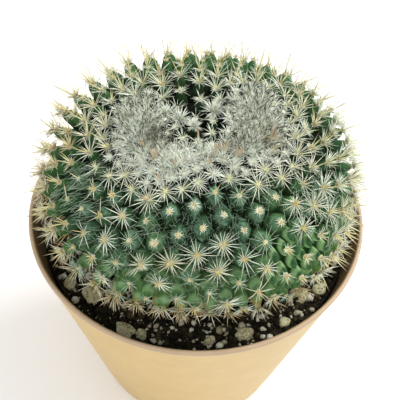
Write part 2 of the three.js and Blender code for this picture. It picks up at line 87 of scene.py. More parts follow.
class Tone:
    """A value or colour in a finish, so that the maths of the finish can be written as sums."""

    def __init__(self, tree, socket=None):
        self.tree = tree
        self.socket = socket

    def make(self, kind, settings=None, inputs=None, output=0):
        """A new node: its settings come first, then the values or links of its sockets."""
        node = self.tree.nodes.new(kind)
        for name, setting in (settings or {}).items():
            setattr(node, name, setting)
        for name, value in (inputs or {}).items():
            if isinstance(value, Tone):
                self.tree.links.new(value.socket, node.inputs[name])
            else:
                node.inputs[name].default_value = value
        return Tone(self.tree, node.outputs[output])

    def maths(self, operation, *values):
        return self.make("ShaderNodeMath", {"operation": operation}, dict(enumerate(values)))

    def __add__(self, other):
        return self.maths("ADD", self, other)

    def __sub__(self, other):
        return self.maths("SUBTRACT", self, other)

    def __mul__(self, other):
        return self.maths("MULTIPLY", self, other)

    def __pow__(self, other):
        return self.maths("POWER", self, other)

    def __rsub__(self, other):
        return self.maths("SUBTRACT", other, self)

    __radd__ = __add__
    __rmul__ = __mul__

    def between(self, low, high):
        """Nought below low and one above high, with a soft step between."""
        settings = {"interpolation_type": "SMOOTHSTEP"}
        return self.make("ShaderNodeMapRange", settings, {0: self, 1: low, 2: high})

    def paint(self, colour):
        """A tone as it is, or the linear colour of a shade that is given in steps of 255."""
        if isinstance(colour, Tone):
            return colour
        steps = [value / 255 for value in colour]
        return (*[((s + 0.055) / 1.055) ** 2.4 if s > 0.04045 else s / 12.92 for s in steps], 1)

    def mix(self, first, second):
        """The first colour where this is nought, and the second where it is one."""
        inputs = {0: self, 6: self.paint(first), 7: self.paint(second)}
        return self.make("ShaderNodeMix", {"data_type": "RGBA"}, inputs, 2)

    def grain(self, scale, detail=3.0, roughness=0.55):
        """Cloudy noise at this place, from nought to one."""
        inputs = {"Vector": self, "Scale": scale, "Detail": detail, "Roughness": roughness}
        return self.make("ShaderNodeTexNoise", None, inputs)

    def marks(self, *names):
        """Numbers that the mesh carries at its points."""
        node = "ShaderNodeAttribute"
        return [self.make(node, {"attribute_name": name}, None, 2) for name in names]

    def place(self):
        return self.make("ShaderNodeTexCoord", None, None, 3)

    def parts(self):
        """The three numbers of this place."""
        split = self.make("ShaderNodeSeparateXYZ", None, {0: self}).socket.node
        return [Tone(self.tree, socket) for socket in split.outputs]

    def relief(self, height, strength, depth):
        inputs = {"Strength": strength, "Distance": depth, "Height": height}
        return self.make("ShaderNodeBump", None, inputs)


class Finish:
    """A new material, with its shader and the start of its maths."""

    def __init__(self, name, roughness, specular, **constants):
        self.material = bpy.data.materials.new(name)
        self.material.use_nodes = True
        tree = self.material.node_tree
        self.shader = tree.nodes["Principled BSDF"]
        self.tone = Tone(tree)
        constants = {"Roughness": roughness, "Specular IOR Level": specular, **constants}
        for socket, value in constants.items():
            self.shader.inputs[socket.replace("_", " ")].default_value = value

    def give(self, socket, tone):
        self.tone.tree.links.new(tone.socket, self.shader.inputs[socket])


def settled(piece, finish, slot, *nodes):
    """Gives a piece its finish, and says what it rides on and stands for."""
    piece.data.materials.clear()
    piece.data.materials.append(finish.material)
    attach(piece, "root")
    if nodes:
        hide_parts(*nodes)


def added(name, primitive, **sizes):
    """A new primitive under its name, with nothing else selected."""
    bpy.ops.object.select_all(action="DESELECT")
    primitive(**sizes)
    piece = bpy.context.object
    piece.name = piece.data.name = name
    return piece


def edit_all():
    """Opens the active mesh for editing, with all of it selected."""
    bpy.ops.object.mode_set(mode="EDIT")
    bpy.ops.mesh.select_all(action="SELECT")


def draw_out(rings, squash=1):
    """Draws the selected face out to each next ring, given by its radius and height in mm."""
    for (radius, height), (next_radius, next_height) in zip(rings, rings[1:]):
        rise = (0, 0, (next_height - height) * MM)
        bpy.ops.mesh.extrude_region_move(TRANSFORM_OT_translate={"value": rise})
        wider = next_radius / radius
        centre = (0, 0, next_height * MM)
        bpy.ops.transform.resize(value=(wider, wider, squash), center_override=centre)


def turned(name, profile, sides):
    """A round piece, drawn out of a flat disc ring by ring to the profile's radii and heights."""
    radius, height = profile[0]
    piece = added(
        name, bpy.ops.mesh.primitive_circle_add, vertices=sides, radius=radius * MM,
        fill_type="NGON", location=(0, 0, height * MM),
    )
    bpy.ops.object.transform_apply(location=True, rotation=True, scale=True)
    edit_all()
    draw_out(profile)
    bpy.ops.mesh.select_all(action="SELECT")
    bpy.ops.mesh.normals_make_consistent(inside=False)
    bpy.ops.object.mode_set(mode="OBJECT")
    return piece


def soften(piece, angle):
    """Smooth shading, except over edges that turn by more than the angle."""
    bpy.ops.object.select_all(action="DESELECT")
    piece.select_set(True)
    bpy.context.view_layer.objects.active = piece
    bpy.ops.object.shade_smooth_by_angle(angle=math.radians(angle))


def wall_radius(height):
    """The outer radius of the tapered wall."""
    return FOOT_RADIUS + (RIM_RADIUS - LIP_STEP - FOOT_RADIUS) * height / LIP_FOOT


def rounded(radius, height, size, start, end, steps=4):
    """Points round a corner in the profile, about the given centre."""
    turns = [math.radians(start + (end - start) * i / steps) for i in range(steps + 1)]
    return [(radius + size * math.cos(t), height + size * math.sin(t)) for t in turns]


pot_profile = [
    (20.4, 1.4),
    (20.75, 1.2),
    *rounded(21.5, 0.5, 0.5, 180, 270),
    *rounded(24.3, 0.7, 0.7, 270, 350),
    *[(wall_radius(height), height) for height in range(6, 54, 6)],
    (wall_radius(55.5), 55.5),
    (wall_radius(56.6), 56.6),
    (RIM_RADIUS - 0.12, LIP_FOOT),
    *rounded(RIM_RADIUS - 0.6, POT_TOP - 0.6, 0.6, 0, 180, 10),
    (wall_radius(LIP_FOOT) - WALL, LIP_FOOT),
    (wall_radius(54) - WALL, 54),
    *[(wall_radius(height) - WALL, height) for height in range(48, 4, -6)],
    (wall_radius(4.5) - WALL, 4.5),
    (wall_radius(3.5) - WALL - 0.3, 3.5),
    (wall_radius(FLOOR_TOP) - WALL - 1.2, FLOOR_TOP),
]
pot = turned("plant_pot", pot_profile, POT_SIDES)

for hole in range(DRAIN_HOLES):
    bearing = (hole + 0.5) / DRAIN_HOLES * 2 * math.pi
    middle = (DRAIN_CIRCLE * MM * math.cos(bearing), DRAIN_CIRCLE * MM * math.sin(bearing), 2 * MM)
    drain = added(
        "drain", bpy.ops.mesh.primitive_cylinder_add, vertices=DRAIN_SIDES,
        radius=DRAIN_RADIUS * MM, depth=8 * MM, location=middle,
    )
    cut = pot.modifiers.new("drain", "BOOLEAN")
    cut.operation, cut.solver, cut.object = "DIFFERENCE", "EXACT", drain
    bpy.context.view_layer.objects.active = pot
    bpy.ops.object.modifier_apply(modifier="drain")
    bpy.data.objects.remove(drain)
soften(pot, 40)

cream_plastic = Finish("cream_plastic", 0.42, 0.4)
tone = cream_plastic.tone
spot = tone.place()
across, deep, up = spot.parts()
out = (across * across + deep * deep) ** 0.5
outer_wall = up * ((RIM_RADIUS - LIP_STEP - FOOT_RADIUS) / LIP_FOOT) + FOOT_RADIUS * MM
inside = (outer_wall - out).between(0.5 * MM, 0.95 * MM)
lip = up.between(56.3 * MM, 56.8 * MM)
clouds = spot.grain(140, 4)
specks = spot.grain(1900, 3)
body = clouds.between(0.3, 0.7).mix((204, 176, 117), (199, 170, 113))
edge = clouds.between(0.3, 0.7).mix((184, 160, 132), (176, 151, 122))
stain = spot.grain(420, 4).between(0.35, 0.75)
wet = stain * 0.6 + (1 - up.between(50 * MM, 58 * MM)) * 0.4
inner = wet.mix((150, 128, 92), (104, 84, 56))
colour = inside.mix(lip.mix(body, edge), inner)
crumbs_stuck = specks.between(0.62, 0.7) * inside * (1 - up.between(52 * MM, 56 * MM))
colour = crumbs_stuck.mix(colour, (48, 38, 26))
cream_plastic.give("Base Color", colour)
cream_plastic.give("Roughness", 0.38 + spot.grain(700, 4) * 0.14 + inside * 0.2)
cream_plastic.give("Normal", tone.relief(spot.grain(900, 4) + specks * 0.3, 0.25, 0.06 * MM))
settled(pot, cream_plastic, "pot_plastic", "pot")

# Soil
# Damp black peat, pressed into the pot to nearly 8 mm below the rim, uneven on top and hollowed
# where the stem's neck stands in it.
SOIL_LEVEL = 50.4
SOIL_FOOT = 3.4
SOIL_SIDES = 180
SOIL_RINGS = 30
HOLE_RADIUS = 18.2
HOLE_FOOT_RADIUS = 12.7
HOLE_DEPTH = 14


def points_of(piece):
    """The piece's points, in mm."""
    flat = np.empty(len(piece.data.vertices) * 3)
    piece.data.vertices.foreach_get("co", flat)
    return flat.reshape(-1, 3) / MM


def move_points(piece, points):
    piece.data.vertices.foreach_set("co", (points * MM).ravel())
    piece.data.update()


def cloud(points, size, seed=0):
    """Smooth noise from about -1 to 1 at each point, with lumps of the given size in mm."""
    shift = Vector((seed * 7.1, seed * 3.7, seed * 5.3))
    return np.array([noise.noise(Vector(p) / size + shift) for p in points])


def soft_step(value, low, high):
    share = np.clip((value - low) / (high - low), 0, 1)
    return share * share * (3 - 2 * share)


def soil_height(points):
    """The height of the soil's top at each point, in mm."""
    x, y = points[:, 0], points[:, 1]
    flat = np.column_stack([x, y, np.zeros(len(x))])
    waves = 0.5 * cloud(flat, 7.0, 1) + 0.3 * cloud(flat, 2.6, 2) + 0.16 * cloud(flat, 1.1, 3)
    return SOIL_LEVEL + waves - 1.3 * soft_step(30 - np.hypot(x, y), 0, 10)


wall_inside = wall_radius(SOIL_LEVEL - 1.5) - WALL - 0.2
soil_width = wall_inside - HOLE_RADIUS
soil_profile = [
    (HOLE_FOOT_RADIUS, SOIL_LEVEL - HOLE_DEPTH),
    *[(HOLE_RADIUS + soil_width * i / SOIL_RINGS, SOIL_LEVEL) for i in range(SOIL_RINGS + 1)],
    (wall_radius(4.9) - WALL - 0.35, 4.9),
    (wall_radius(SOIL_FOOT) - WALL - 1.5, SOIL_FOOT),
]
soil = turned("peat_bed", soil_profile, SOIL_SIDES)
points = points_of(soil)
off_axis = np.hypot(points[:, 0], points[:, 1])
top = (points[:, 2] > SOIL_LEVEL - 0.1) & (off_axis > HOLE_RADIUS - 0.5)
points[top, 2] = soil_height(points[top])
move_points(soil, points)
soften(soil, 60)

damp_peat = Finish("damp_peat", 0.9, 0.25)
tone = damp_peat.tone
spot = tone.place()
lumps = spot.grain(900, 5, 0.7)
fibres = spot.grain(3200, 3)
colour = lumps.between(0.35, 0.7).mix((16, 14, 8), (54, 46, 27))
colour = (fibres.between(0.66, 0.72) * 0.8).mix(colour, (96, 78, 52))
damp_peat.give("Base Color", colour)
damp_peat.give("Roughness", 0.75 + 0.2 * lumps)
damp_peat.give("Normal", tone.relief(lumps + fibres * 0.4, 0.9, 0.8 * MM))
settled(soil, damp_peat, "peat", "soil")

# Peat crumbs and grit
# Loose crumbs of peat lie all over the soil, with white grit washed in among them. Both are
# mixed into the soil and held by nothing but their own weight.
LUMP_KINDS = 4
chance = np.random.default_rng(41)


def chipped(name, seed):
    """A small broken lump about 1 mm across: a ball pressed out of shape, with two flats."""
    lump = added(name, bpy.ops.mesh.primitive_ico_sphere_add, subdivisions=1, radius=0.5 * MM)
    local = np.random.default_rng(seed)
    points = points_of(lump)
    move_points(lump, points * (1 + local.uniform(-0.2, 0.2, (len(points), 1))))
    bpy.ops.object.mode_set(mode="EDIT")
    for _ in range(2):
        bpy.ops.mesh.select_all(action="SELECT")
        way = local.normal(size=3)
        way /= np.linalg.norm(way)
        bpy.ops.mesh.bisect(
            plane_co=tuple(way * 0.3 * MM), plane_no=tuple(way), use_fill=True, clear_outer=True
        )
    bpy.ops.mesh.select_all(action="SELECT")
    bpy.ops.mesh.normals_make_consistent(inside=False)
    bpy.ops.object.mode_set(mode="OBJECT")
    return lump


def copies(name, models, picks, places, shapes, marks):
    """One mesh that holds many copies of the models, in mm.

    picks says which model each copy is of, places where it is, and shapes how it is turned
    and sized. marks are numbers for its points: one per copy, or a function of the points.
    """
    co, loops, starts, totals = [], [], [], []
    kept = {key: [] for key in marks}
    count, corners = 0, 0
    for number, model in enumerate(models):
        mine = np.flatnonzero(picks == number)
        local = points_of(model)
        mesh = model.data
        corner, start, total = np.array([loop.vertex_index for loop in mesh.loops]), *np.array(
            [(face.loop_start, face.loop_total) for face in mesh.polygons]
        ).T
        moved = np.einsum("nij,vj->nvi", shapes[mine], local) + places[mine][:, None]
        step = np.arange(len(mine))[:, None]
        co.append(moved.reshape(-1, 3))
        loops.append((corner[None] + count + step * len(local)).ravel())
        starts.append((start[None] + corners + step * len(corner)).ravel())
        totals.append(np.tile(total, len(mine)))
        for key, mark in marks.items():
            if callable(mark):
                kept[key].append(np.tile(mark(local), len(mine)))
            else:
                kept[key].append(np.repeat(mark[mine], len(local)))
        count += len(mine) * len(local)
        corners += len(mine) * len(corner)
    mesh = bpy.data.meshes.new(name)
    mesh.vertices.add(count)
    mesh.vertices.foreach_set("co", (np.concatenate(co) * MM).ravel())
    mesh.loops.add(corners)
    mesh.loops.foreach_set("vertex_index", np.concatenate(loops).astype(np.int32))
    mesh.polygons.add(sum(len(part) for part in starts))
    mesh.polygons.foreach_set("loop_start", np.concatenate(starts).astype(np.int32))
    mesh.polygons.foreach_set("loop_total", np.concatenate(totals).astype(np.int32))
    mesh.update(calc_edges=True)
    for key, parts in kept.items():
        mark = mesh.attributes.new(key, "FLOAT", "POINT")
        mark.data.foreach_set("value", np.concatenate(parts).astype(np.float32))
    piece = bpy.data.objects.new(name, mesh)
    bpy.context.collection.objects.link(piece)
    return piece


def smooth(piece):
    piece.data.polygons.foreach_set("use_smooth", np.ones(len(piece.data.polygons), bool))


def put_away(models):
    for model in models:
        bpy.data.objects.remove(model)


def any_turn(number):
    """As many rotations as asked for, each any way up."""
    quats = chance.normal(size=(number, 4))
    return np.array([Quaternion(quat).normalized().to_matrix() for quat in quats])


def strewn(name, seed, number, size_low, size_high, inner_radius, proud):
    """One piece of many small lumps, strewn over the soil from the inner radius to the wall."""
    lumps = [chipped(f"{name}_{i}", seed + i) for i in range(LUMP_KINDS)]
    radius = np.sqrt(chance.uniform(inner_radius ** 2, (wall_inside - 0.5) ** 2, number))
    bearing = chance.uniform(0, 2 * math.pi, number)
    size = size_low * (size_high / size_low) ** (chance.uniform(0, 1, number) ** 1.6)
    radius = np.minimum(radius, wall_inside - 0.1 - size / 2)
    places = np.column_stack([radius * np.cos(bearing), radius * np.sin(bearing), np.zeros(number)])
    places[:, 2] = soil_height(places) + proud * size
    uneven = size[:, None] * chance.uniform(0.7, 1.3, (number, 3))
    shapes = any_turn(number) * uneven[:, None, :]
    picks = chance.integers(0, LUMP_KINDS, number)
    tones = chance.uniform(0, 1, number)
    piece = copies(name, lumps, picks, places, shapes, {"tone": tones})
    put_away(lumps)
    return piece


crumbs = strewn("peat_crumbs", 60, 2600, 0.5, 2.0, 23, 0.12)
crumb_peat = Finish("crumb_peat", 0.9, 0.2)
tone = crumb_peat.tone
rough = tone.place().grain(2500, 4, 0.7)
(shade,) = tone.marks("tone")
colour = (shade ** 2).mix((18, 16, 9), (84, 74, 48))
colour = ((rough - 0.5) * 0.9 + 0.3).mix(colour, (30, 23, 15))
crumb_peat.give("Base Color", colour)
crumb_peat.give("Normal", tone.relief(rough, 0.8, 0.3 * MM))
settled(crumbs, crumb_peat, "peat")

grit = strewn("white_grit", 80, 1100, 0.3, 2.0, 24, 0.3)
pale_grit = Finish("pale_grit", 0.85, 0.3)
tone = pale_grit.tone
rough = tone.place().grain(2200, 4, 0.7)
(shade,) = tone.marks("tone")
colour = shade.mix((150, 142, 112), (226, 224, 204))
colour = (rough.between(0.5, 0.8) * 0.5).mix(colour, (110, 100, 76))
pale_grit.give("Base Color", colour)
pale_grit.give("Normal", tone.relief(rough, 0.7, 0.25 * MM))
settled(grit, pale_grit, "pumice")

# Pumice stones
# Worn lumps of pale pumice, full of small holes, lie sunk in the peat along the wall. Each is
# given by its distance from the axis, its bearing, and its length, width and height.
STONE_SUNK = 0.35
STONES = [
    (34.0, -147, 4.0, 3.4, 2.8),
    (31.6, -137, 6.0, 4.6, 3.4),
    (33.6, -116, 5.2, 3.6, 2.8),
    (33.2, -109, 3.0, 2.4, 4.0),
    (32.4, -82, 3.2, 2.8, 2.6),
    (32.4, -68, 5.0, 3.6, 3.2),
    (33.8, -51, 3.2, 2.6, 2.2),
    (31.8, -37, 4.6, 3.0, 3.0),
    (34.0, -29, 3.8, 3.2, 2.8),
    (34.2, -13, 3.8, 3.6, 3.0),
    (33.6, 24, 4.2, 3.2, 2.6),
    (33.2, 71, 5.0, 3.8, 3.0),
    (33.4, 139, 4.6, 3.4, 2.8),
]

pumice = Finish("pumice", 0.92, 0.25)
tone = pumice.tone
spot = tone.place()
patches = spot.grain(330, 4, 0.6)
rough = spot.grain(1700, 5, 0.7)
cells = tone.make("ShaderNodeTexVoronoi", None, {"Vector": spot, "Scale": 1500.0})
holes = 1 - cells.between(0.12, 0.42)
colour = patches.between(0.3, 0.7).mix((214, 210, 174), (186, 178, 136))
colour = (rough.between(0.45, 0.75) * 0.5).mix(colour, (112, 100, 70))
# Painted shade: the small holes, which are only bumps, are painted dark inside.
colour = (holes * 0.75).mix(colour, (70, 60, 40))
pumice.give("Base Color", colour)
pumice.give("Normal", tone.relief(rough * 0.7 - holes * 0.8, 0.8, 0.35 * MM))

for number, (distance, bearing, length, width, height) in enumerate(STONES, 1):
    name = f"pumice_stone_{number:02d}"
    stone = added(name, bpy.ops.mesh.primitive_ico_sphere_add, subdivisions=5, radius=1 * MM)
    ways = points_of(stone)
    seed = number - 1
    dents = np.sin(ways[:, 0] * 3.1 + seed * 1.7) * np.sin(ways[:, 1] * 2.7 + seed * 2.3)
    dents += 0.6 * np.sin(ways[:, 2] * 4.3 + seed * 0.9)
    swell = 0.86 + 0.14 * dents + 0.07 * cloud(ways, 0.42, number)
    swell += 0.035 * cloud(ways, 0.16, number + 20)
    pits = [noise.cell_vector(Vector(way) * 4 + Vector((number, 0, 0)))[0] for way in ways]
    swell -= 0.012 * (np.array(pits) > 0.8)
    lumpy = ways * swell[:, None] * np.array([width, length, height]) / 2
    lumpy += (distance, 0, SOIL_LEVEL - STONE_SUNK * height + height / 2)
    cos, sin = math.cos(math.radians(bearing)), math.sin(math.radians(bearing))
    move_points(stone, lumpy @ np.array([(cos, sin, 0), (-sin, cos, 0), (0, 0, 1)]))
    smooth(stone)
    settled(stone, pumice, "pumice", f"pumice_{number:02d}")

# Stem
# One firm, waxy green stem that has divided at its tip. Blunt tubercles grow out of it in spirals
# round both growing points: slender on the right, low and bare in a row in front, and narrow and
# close-packed low on the right.
STEM_MIDDLE = np.array([0, 0, 70.0])
HALF_SIZES = np.array([35.3, 34.0, 20.8])
SQUARENESS = 2.2
CLEFT_MIDDLE = np.array([-1.5, 1.5])
CLEFT_HALF = np.array([7.5, 4.5])
CLEFT_DEPTH = 0.13
GROWTH_LINE = np.array([
    (-13.2, -0.4, 19.5, 1.2),
    (-12.4, -9.4, 19.5, 1.4),
    (-7.9, -14.5, 19.5, 1.1),
    (0.2, -13.2, 19.5, 0.8),
    (8.0, -11.4, 19.5, 0.95),
    (12.9, -5.9, 19.5, 1.35),
    (11.0, 3.8, 19.5, 1.35),
])
GROWTH_STEPS = 4
AREOLE_ROOM = ((0, 5.3, 8.2, 18), (2.0, 3.1, 4.8, 5.5))
MAP_MIDDLE = 0.0358 - 0.1755j
MAP_HALF = 0.2396 + 0.067j
SPIRAL_COLUMNS = 18
SPIRAL_START = 2.4
SPIRAL_FALL = 4.5
SPIRAL_GAP = 0.74
EVEN_PLACES = 9000
EVEN_GAP = 0.86
CROWDING_ROUNDS = 40
CROWDING_STEP = 0.28
CROWDED_GAP = 0.52
LOWEST_AREOLE = -17.5
WOOLLY_BELOW = 3.05
CROWN_GAP = (-1, -2, 18)
BACK_GAP = (-1, 7, 19)
BARE_ROW = (3, -26, 14)
HAIRY_PATCH = (-25, -19, 11)
SHADED_PATCH = (-20, -23, 8)
SLENDER_PATCH = (28, -1, 10)
PACKED_PATCH = (22.7, -27, 3.3)
DOWNHILL = np.array([0.12, -0.13, -0.98])
WEDGE_ROOM = 1.95
POMPOMS = [(1.5, 1, 20.8), (0.3, -5, 20.7), (-6.7, 0, 20.5), (-3.5, -0.9, 20.7)]
CORE_SEGMENTS = 120
CORE_RINGS = 80
CORE_FOOT = -12.5
NECK = ((19.8, -13.1), (17.6, -20.6), (12, -25), (9, -32), (4, -33))
TUBERCLE_SIDES = 12
TUBERCLE_HEIGHT = 0.86
ROW_LOWERED = 0.3


def unit(ways):
    return ways / np.maximum(np.linalg.norm(ways, axis=1, keepdims=True), 1e-9)


def swung(first, second, angles):
    """The ways that lie at the angles from the first way to the second."""
    return first * np.cos(angles)[:, None] + second * np.sin(angles)[:, None]


def vary(low, high, things):
    """A chance number between low and high for each thing."""
    return chance.uniform(low, high, len(things))


def on_skin(points):
    """The points moved straight out from the stem's middle, or in, on to its skin."""
    ways = unit(points)
    reach = (np.abs(ways / HALF_SIZES) ** SQUARENESS).sum(1) ** (-1 / SQUARENESS)
    cleft = (((ways[:, :2] * reach[:, None] - CLEFT_MIDDLE) / CLEFT_HALF) ** 2).sum(1)
    reach *= 1 - CLEFT_DEPTH * np.exp(-cleft) * (ways[:, 2] > 0)
    return ways * reach[:, None]


def outward(points):
    """The way straight out of the skin."""
    return unit(np.sign(points) * np.abs(points / HALF_SIZES) ** (SQUARENESS - 1) / HALF_SIZES)


share = np.arange(GROWTH_STEPS)[:, None, None] / GROWTH_STEPS
between = GROWTH_LINE[:-1] * (1 - share) + GROWTH_LINE[1:] * share
growth = np.vstack([between.transpose(1, 0, 2).reshape(-1, 4), GROWTH_LINE[-1:]])
young_line, breadth = on_skin(growth[:, :3]), growth[:, 3]


def room(points):
    """How far apart the areoles stand at each point: closest along the line of youngest growth."""
    apart = (np.linalg.norm(points[:, None] - young_line[None], axis=2) / breadth).min(1)
    return np.interp(apart, *AREOLE_ROOM)


def from_map(spots):
    """From a flat map of the stem, which keeps angles and has the top at nought, to the skin."""
    flatness = math.sqrt(1 - (HALF_SIZES[2] / HALF_SIZES[0]) ** 2)
    rise = -np.log(np.maximum(np.abs(spots), 1e-9))
    sine = np.tanh(rise)
    for _ in range(30):
        sine = np.tanh(rise + flatness * np.arctanh(flatness * sine))
    curve = HALF_SIZES[0] / np.sqrt(1 - (flatness * sine) ** 2)
    across = curve * np.sqrt(1 - sine * sine)
    return on_skin(np.column_stack([
        across * np.cos(np.angle(spots)),
        across * np.sin(np.angle(spots)) * HALF_SIZES[1] / HALF_SIZES[0],
        curve * (1 - flatness ** 2) * sine,
    ]))


def areole_places():
    """Where the areoles sit: on the spirals, with gaps filled, then crowded into even room."""
    golden = math.pi * (3 - math.sqrt(5))
    step = 2 * math.pi / SPIRAL_COLUMNS
    fall = math.sqrt(3) / 2 * step * step / (2 * math.pi)
    start = 2 * math.log(SPIRAL_START)
    end = 2 * math.log(abs(MAP_HALF)) - SPIRAL_FALL
    turn = np.arange(int((start - end) / fall - 0.5) + 1)
    spiral = start - (turn + 0.5) * fall + 1j * (turn * golden % (2 * math.pi))
    arm = np.sqrt(MAP_HALF ** 2 + np.exp(spiral))
    arms = np.column_stack([arm, -arm]).ravel()
    spirals = from_map((arms + MAP_MIDDLE) / (1 - np.conj(MAP_MIDDLE) * arms))
    level = 1 - 2 * (np.arange(EVEN_PLACES) + 0.5) / EVEN_PLACES
    wide = np.sqrt(1 - level * level)
    round_about = np.arange(EVEN_PLACES) * golden
    even = on_skin(np.column_stack([wide * np.cos(round_about), wide * np.sin(round_about), level]))
    kept, rooms = np.empty((0, 3)), np.empty(0)
    for places, least, fill in ((spirals, SPIRAL_GAP, False), (even, EVEN_GAP, True)):
        for place, own in zip(places, room(places)):
            if place[2] <= LOWEST_AREOLE:
                continue
            needed = least * (own if fill else np.minimum(rooms, own))
            if (np.linalg.norm(kept - place, axis=1) > needed).all():
                kept, rooms = np.vstack([kept, place]), np.append(rooms, own)
    for _ in range(CROWDING_ROUNDS):
        rooms = room(kept)
        away = kept[:, None] - kept[None]
        apart = np.linalg.norm(away, axis=2)
        np.fill_diagonal(apart, 1e9)
        lack = np.maximum(0, CROWDED_GAP * (rooms[:, None] + rooms[None]) - apart)
        kept = on_skin(kept + CROWDING_STEP * (away * (lack / apart)[..., None]).sum(1))
    return kept


areoles = areole_places()
rooms = room(areoles)
axes = outward(areoles)


def zone(middle, inner, outer, spots=areoles):
    """One near the given place on the skin, and nought far from it."""
    return 1 - soft_step(np.linalg.norm(spots - np.array(middle), axis=1), inner, outer)


def facing(spots):
    """One on the stem's front, and nought on its flanks and its back."""
    return soft_step(-spots[:, 1], 8, 18) * (1 - soft_step(np.abs(spots[:, 0]), 20, 30))


def nearest_to(places):
    """The numbers of the areoles that sit nearest to the places."""
    return np.array([np.linalg.norm(areoles - place, axis=1).argmin() for place in places])


x, y, z = areoles.T
every = np.arange(len(areoles))
woolly = rooms < WOOLLY_BELOW
grown = ~woolly
pompom = np.isin(every, nearest_to(POMPOMS))
front = facing(areoles)
lowest = soft_step(-z, 4, 11)
left_edge = soft_step(-x, 24, 31)
ring = (1 - soft_step(rooms, 4.2, 5.0)) * grown
crown_gap = zone(CROWN_GAP, 8, 12)
hairy_side = zone(HAIRY_PATCH, 7, 11)
slender_side = zone(SLENDER_PATCH, 9, 15)
packed_side = zone(PACKED_PATCH, 7, 10)

steps = np.linspace(-11, 11, 24)
patch = on_skin(np.array([(i, j, k) for i in steps for j in steps for k in steps]) + PACKED_PATCH)
patch = patch[zone(PACKED_PATCH, 8.5, 8.6, patch) > 0.5]


def reach_from(seat):
    """How far the patch's points lie from a seat, where a step downhill counts less."""
    gap = patch - seat
    return np.linalg.norm(gap - 0.5 * (gap @ DOWNHILL)[:, None] * DOWNHILL, axis=1)


gaps = np.min([reach_from(seat) for seat in areoles], axis=0)
wedged = []
while gaps.max() > WEDGE_ROOM:
    wedged.append(patch[gaps.argmax()])
    gaps = np.minimum(gaps, reach_from(wedged[-1]))


def across_axis(axis):
    """Two ways across each axis: one level, round the stem, and one up towards its top."""
    level = unit(np.cross(np.tile([0.0, 0.0, 1.0], (len(axis), 1)), axis))
    return level, np.cross(axis, level)


core = added(
    "stem_core", bpy.ops.mesh.primitive_uv_sphere_add, segments=CORE_SEGMENTS,
    ring_count=CORE_RINGS, radius=20 * MM,
)
edit_all()
bpy.ops.mesh.bisect(
    plane_co=(0, 0, CORE_FOOT * MM), plane_no=(0, 0, -1), use_fill=True, clear_outer=True
)
bpy.ops.object.mode_set(mode="OBJECT")
skin = on_skin(points_of(core))
depth = TUBERCLE_HEIGHT * room(skin) * (1 - ROW_LOWERED * zone(BARE_ROW, 8, 14, skin))
move_points(core, skin - outward(skin) * depth[:, None])
bpy.ops.object.mode_set(mode="EDIT")
bpy.ops.mesh.select_all(action="DESELECT")
bpy.ops.object.mode_set(mode="OBJECT")
for face in core.data.polygons:
    face.select = len(face.vertices) > 4
bpy.ops.object.mode_set(mode="EDIT")
draw_out(NECK, 0.4)
bpy.ops.object.mode_set(mode="OBJECT")
move_points(core, points_of(core) + STEM_MIDDLE)

tubercle_profile = [
    (1.22, -0.12), (1.0, 0.06), (0.84, 0.28), (0.75, 0.54), (0.64, 0.77), (0.46, 0.91),
    (0.25, 0.98), (0.08, 1.0),
]
tubercle = turned("tubercle", tubercle_profile, TUBERCLE_SIDES)
points = points_of(tubercle)
squared = 1 + 0.10 * np.cos(4 * np.arctan2(points[:, 1], points[:, 0]))
points[:, :2] *= squared[:, None]
move_points(tubercle, points)


def ridge_of(local):
    """One on the four ridges that run down a tubercle, and nought between them."""
    corner = np.cos(4 * np.arctan2(local[:, 1], local[:, 0])) > 0.5
    return corner * (local[:, 2] > 0.2) * 1.0


def columns(*ways):
    """Turns and sizes, from the three ways that a model's own x, y and z are to point."""
    return np.stack(ways, axis=2)


level, upward = across_axis(axes)
twist = vary(-0.3, 0.3, areoles) + math.pi / 4
side = swung(level, upward, twist)
seats = np.vstack([areoles, wedged])
seat_axes = outward(seats)
seat_rooms = room(seats)
packed = zone(PACKED_PATCH, 8, 9, seats)
belt = zone(BARE_ROW, 8, 14, seats)
slender = zone(SLENDER_PATCH, 9, 15, seats)
seat_front = facing(seats) * (1 - soft_step(3.8 - seat_rooms, -0.4, 0.6))
low_front = soft_step(-seats[:, 2], -9, 1) * (1 - packed) * seat_front
seat_twist = np.append(twist, np.zeros(len(wedged)))
seat_twist = np.where(packed + low_front + belt > 0.4, 0, seat_twist)
seat_side = swung(*across_axis(seat_axes), seat_twist)
high = TUBERCLE_HEIGHT * seat_rooms * vary(0.95, 1.03, seats)
high *= 1 - ROW_LOWERED * belt
rise = seat_axes * high[:, None]
wide = 0.5 * seat_rooms * vary(0.94, 1.05, seats)
wide *= (
    0.68 + 0.4 * seat_front - 0.1 * low_front + 0.02 * belt * seat_front
    + 0.32 * packed * (1 - seat_front) - 0.13 * slender
)
round_stem = wide * (1 - 0.56 * packed - 0.34 * low_front - 0.22 * belt * (1 - packed))
up_stem = wide * (1 - 0.16 * packed + 0.08 * belt * (1 - packed))
# Painted shade: the skin in the cleft between the crowns and in a gap at the back is painted
# near-black.
gap_shade = np.maximum(zone(CROWN_GAP, 8, 12, seats), zone(BACK_GAP, 5, 9, seats))
marks = {
    "up": lambda local: np.clip(local[:, 2], 0, 1),
    "ridge": ridge_of,
    "tone": vary(0, 1, seats),
    "clear_of_crown_shade": soft_step(seat_rooms, 3.6, 5.3) * (1 - gap_shade),
    "pale": np.maximum(packed, 0.55 * low_front),
    "hazy": seat_front * (1 - packed) - 0.5 * low_front,
    "shade": np.maximum(belt, 0.85 * zone(SHADED_PATCH, 8, 14, seats)) * (1 - packed),
    "lit": slender,
}
stem = copies(
    "stem_with_tubercles", [tubercle], np.zeros(len(seats), int), seats - rise + STEM_MIDDLE,
    columns(
        seat_side * round_stem[:, None], np.cross(seat_axes, seat_side) * up_stem[:, None], rise
    ),
    marks,
)
put_away([tubercle])
bpy.ops.object.select_all(action="DESELECT")
core.select_set(True)
stem.select_set(True)
bpy.context.view_layer.objects.active = stem
bpy.ops.object.join()
smooth(stem)

